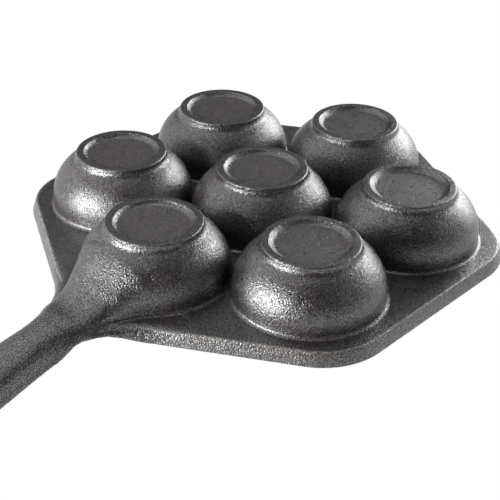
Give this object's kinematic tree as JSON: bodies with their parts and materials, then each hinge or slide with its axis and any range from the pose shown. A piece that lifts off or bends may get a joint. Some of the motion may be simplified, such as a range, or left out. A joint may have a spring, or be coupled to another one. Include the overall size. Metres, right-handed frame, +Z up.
{
  "type": "aebleskiver_pan",
  "caption": "Cast-iron pan for round pancakes: hollow round cups on a hexagonal plate, turned over, each with a ring foot, and a short curved handle with a hang hole.",
  "frame": {"origin": "On the plane of the rim's edge, which is the cooking side and lies down here, at the middle cup's axis.", "axes": "+Z runs out of the rim's plane towards the ring feet, so the pan is turned over. The handle lies along -Y, and +X is to the right when +Y runs ahead and +Z up. For cooking, turn it 180 degrees about the Y axis: the feet then stand on the hob and the hollows open upwards."},
  "size_m": [0.2068, 0.3663, 0.0493],
  "materials": {
    "iron": "seasoned, dark grey to black, fine cast grain, half gloss"
  },
  "bodies": {
    "root": {"deck": "iron", "rim": "iron", "handle": "iron", "handle_root": "iron", "cup_middle": "iron", "cup_by_handle": "iron", "cup_near_right": "iron", "cup_far_right": "iron", "cup_far": "iron", "cup_far_left": "iron", "cup_near_left": "iron", "foot_middle": "iron", "foot_by_handle": "iron", "foot_near_right": "iron", "foot_far_right": "iron", "foot_far": "iron", "foot_far_left": "iron", "foot_near_left": "iron"}
  },
  "joints": []
}
